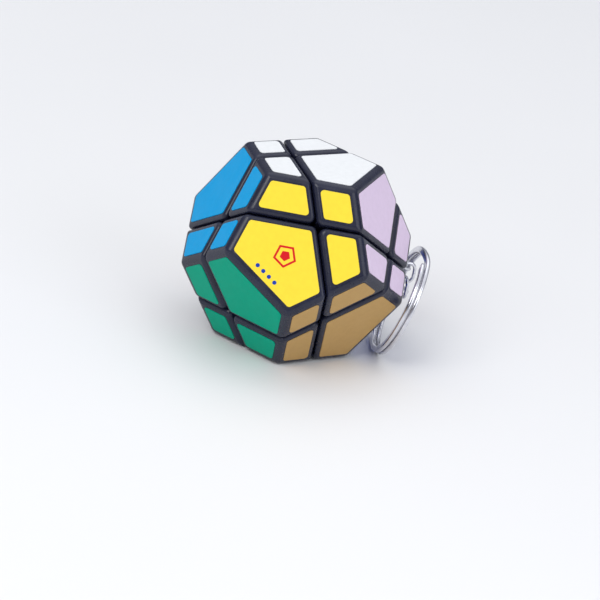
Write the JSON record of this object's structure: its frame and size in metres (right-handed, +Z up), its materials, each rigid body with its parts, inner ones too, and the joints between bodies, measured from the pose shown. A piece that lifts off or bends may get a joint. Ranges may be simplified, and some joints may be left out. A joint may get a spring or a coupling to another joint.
{
  "type": "twisty puzzle key ring",
  "caption": "Dodecahedral twisty puzzle with four turning axes through its centre, hollow corner and edge pieces on a screwed core, on a short chain and split key ring.",
  "frame": {"origin": "centre of the pentagonal face that the puzzle rests on, at floor height", "axes": "+Z is up, square to the white top face and the rest face; -Y is the front, where the yellow face looks forwards and up; +X is to the right, where the key ring stands"},
  "size_m": [0.0541, 0.0518, 0.0424],
  "materials": {
    "puzzle_black": "satin",
    "mechanism_black": "satin",
    "core_white": "satin",
    "steel": "satin",
    "chrome": "polished",
    "label_yellow": "satin",
    "label_sky_blue": "satin",
    "label_green": "satin",
    "label_tan": "satin",
    "label_white": "satin",
    "label_lilac": "satin",
    "label_dark_blue": "satin",
    "label_red": "satin",
    "label_orange": "satin",
    "label_light_green": "satin",
    "label_pink": "satin",
    "label_grey": "satin"
  },
  "bodies": {
    "core": {"core_ball": "core_white", "axle_screw_1": "steel", "axle_screw_2": "steel", "axle_screw_3": "steel", "axle_screw_4": "steel", "tension_spring_1": "steel", "tension_spring_2": "steel", "tension_spring_3": "steel", "tension_spring_4": "steel", "washer_1": "steel", "washer_2": "steel", "washer_3": "steel", "washer_4": "steel"},
    "fixed_corner_1": {"fixed_corner_1_shell": "puzzle_black", "fixed_corner_1_foot": "mechanism_black"},
    "fixed_corner_2": {"fixed_corner_2_shell": "puzzle_black", "fixed_corner_2_foot": "mechanism_black", "eyelet": "chrome"},
    "fixed_corner_3": {"fixed_corner_3_shell": "puzzle_black", "fixed_corner_3_foot": "mechanism_black"},
    "fixed_corner_4": {"fixed_corner_4_shell": "puzzle_black", "fixed_corner_4_foot": "mechanism_black"},
    "free_corner_1": {"free_corner_1_shell": "puzzle_black", "free_corner_1_foot": "mechanism_black"},
    "free_corner_2": {"free_corner_2_shell": "puzzle_black", "free_corner_2_foot": "mechanism_black"},
    "free_corner_3": {"free_corner_3_shell": "puzzle_black", "free_corner_3_foot": "mechanism_black"},
    "free_corner_4": {"free_corner_4_shell": "puzzle_black", "free_corner_4_foot": "mechanism_black"},
    "edge_piece_12": {"edge_piece_12_shell": "puzzle_black", "edge_piece_12_foot": "mechanism_black"},
    "edge_piece_34": {"edge_piece_34_shell": "puzzle_black", "edge_piece_34_foot": "mechanism_black"},
    "edge_piece_13": {"edge_piece_13_shell": "puzzle_black", "edge_piece_13_foot": "mechanism_black"},
    "edge_piece_24": {"edge_piece_24_shell": "puzzle_black", "edge_piece_24_foot": "mechanism_black"},
    "edge_piece_14": {"edge_piece_14_shell": "puzzle_black", "edge_piece_14_foot": "mechanism_black"},
    "edge_piece_23": {"edge_piece_23_shell": "puzzle_black", "edge_piece_23_foot": "mechanism_black"},
    "chain_link_1": {"chain_link_1": "chrome"},
    "chain_link_2": {"chain_link_2": "chrome"},
    "end_link": {"end_link": "chrome"},
    "split_ring": {"split_ring": "chrome"}
  },
  "joints": [
    {"name": "turn_axis_1", "type": "hinge", "parent": "core", "child": "fixed_corner_1", "pos_m": [0, 0, 0.0212], "axis": [-0.3568, -0.4911, 0.7947], "range_deg": [-240, 120]},
    {"name": "turn_axis_2", "type": "hinge", "parent": "core", "child": "fixed_corner_2", "pos_m": [0, 0, 0.0212], "axis": [0.9342, 0.3035, 0.1876], "range_deg": [-240, 120]},
    {"name": "turn_axis_3", "type": "hinge", "parent": "core", "child": "fixed_corner_3", "pos_m": [0, 0, 0.0212], "axis": [-0.5774, 0.7947, -0.1876], "range_deg": [-240, 120]},
    {"name": "turn_axis_4", "type": "hinge", "parent": "core", "child": "fixed_corner_4", "pos_m": [0, 0, 0.0212], "axis": [0, -0.6071, -0.7947], "range_deg": [-240, 120]},
    {"name": "edge_piece_12_turn", "type": "hinge", "parent": "fixed_corner_1", "child": "edge_piece_12", "pos_m": [0, 0, 0.0212], "axis": [0.9342, 0.3035, 0.1876], "range_deg": [-240, 120]},
    {"name": "edge_piece_13_turn", "type": "hinge", "parent": "fixed_corner_1", "child": "edge_piece_13", "pos_m": [0, 0, 0.0212], "axis": [-0.5774, 0.7947, -0.1876], "range_deg": [-240, 120]},
    {"name": "edge_piece_14_turn", "type": "hinge", "parent": "fixed_corner_1", "child": "edge_piece_14", "pos_m": [0, 0, 0.0212], "axis": [0, -0.6071, -0.7947], "range_deg": [-240, 120]},
    {"name": "edge_piece_23_turn", "type": "hinge", "parent": "fixed_corner_2", "child": "edge_piece_23", "pos_m": [0, 0, 0.0212], "axis": [-0.5774, 0.7947, -0.1876], "range_deg": [-240, 120]},
    {"name": "edge_piece_34_turn", "type": "hinge", "parent": "fixed_corner_3", "child": "edge_piece_34", "pos_m": [0, 0, 0.0212], "axis": [0, -0.6071, -0.7947], "range_deg": [-240, 120]},
    {"name": "edge_piece_24_turn", "type": "hinge", "parent": "fixed_corner_4", "child": "edge_piece_24", "pos_m": [0, 0, 0.0212], "axis": [0.9342, 0.3035, 0.1876], "range_deg": [-240, 120]},
    {"name": "free_corner_1_turn", "type": "hinge", "parent": "edge_piece_34", "child": "free_corner_1", "pos_m": [0, 0, 0.0212], "axis": [0.9342, 0.3035, 0.1876], "range_deg": [-240, 120]},
    {"name": "free_corner_2_turn", "type": "hinge", "parent": "edge_piece_14", "child": "free_corner_2", "pos_m": [0, 0, 0.0212], "axis": [-0.5774, 0.7947, -0.1876], "range_deg": [-240, 120]},
    {"name": "free_corner_3_turn", "type": "hinge", "parent": "edge_piece_12", "child": "free_corner_3", "pos_m": [0, 0, 0.0212], "axis": [0, -0.6071, -0.7947], "range_deg": [-240, 120]},
    {"name": "free_corner_4_turn", "type": "hinge", "parent": "edge_piece_13", "child": "free_corner_4", "pos_m": [0, 0, 0.0212], "axis": [0.9342, 0.3035, 0.1876], "range_deg": [-240, 120]},
    {"name": "chain_link_1_swing", "type": "hinge", "parent": "fixed_corner_2", "child": "chain_link_1", "pos_m": [0.02548, 0.01074, 0.01749], "axis": [0.309, -0.9511, 0], "range_deg": [-4, 12]},
    {"name": "chain_link_2_swing", "type": "hinge", "parent": "chain_link_1", "child": "chain_link_2", "pos_m": [0.02548, 0.01074, 0.01394], "axis": [0.9511, 0.309, 0], "range_deg": [-5, 0]},
    {"name": "end_link_swing", "type": "hinge", "parent": "chain_link_2", "child": "end_link", "pos_m": [0.02548, 0.01074, 0.01034], "axis": [0.309, -0.9511, 0], "range_deg": [-10, 0]},
    {"name": "split_ring_turn", "type": "hinge", "parent": "end_link", "child": "split_ring", "pos_m": [0.02466, 0.00258, 0.01269], "axis": [0.9582, 0.068, -0.278], "continuous": true}
  ],
  "couplings": [
    {"joint": "edge_piece_12_turn", "follows": "turn_axis_2", "ratio": 1},
    {"joint": "edge_piece_13_turn", "follows": "turn_axis_3", "ratio": 1},
    {"joint": "edge_piece_14_turn", "follows": "turn_axis_4", "ratio": 1},
    {"joint": "edge_piece_23_turn", "follows": "turn_axis_3", "ratio": 1},
    {"joint": "edge_piece_34_turn", "follows": "turn_axis_4", "ratio": 1},
    {"joint": "edge_piece_24_turn", "follows": "turn_axis_2", "ratio": 1},
    {"joint": "free_corner_1_turn", "follows": "turn_axis_2", "ratio": 1},
    {"joint": "free_corner_2_turn", "follows": "turn_axis_3", "ratio": 1},
    {"joint": "free_corner_3_turn", "follows": "turn_axis_4", "ratio": 1},
    {"joint": "free_corner_4_turn", "follows": "turn_axis_2", "ratio": 1}
  ]
}
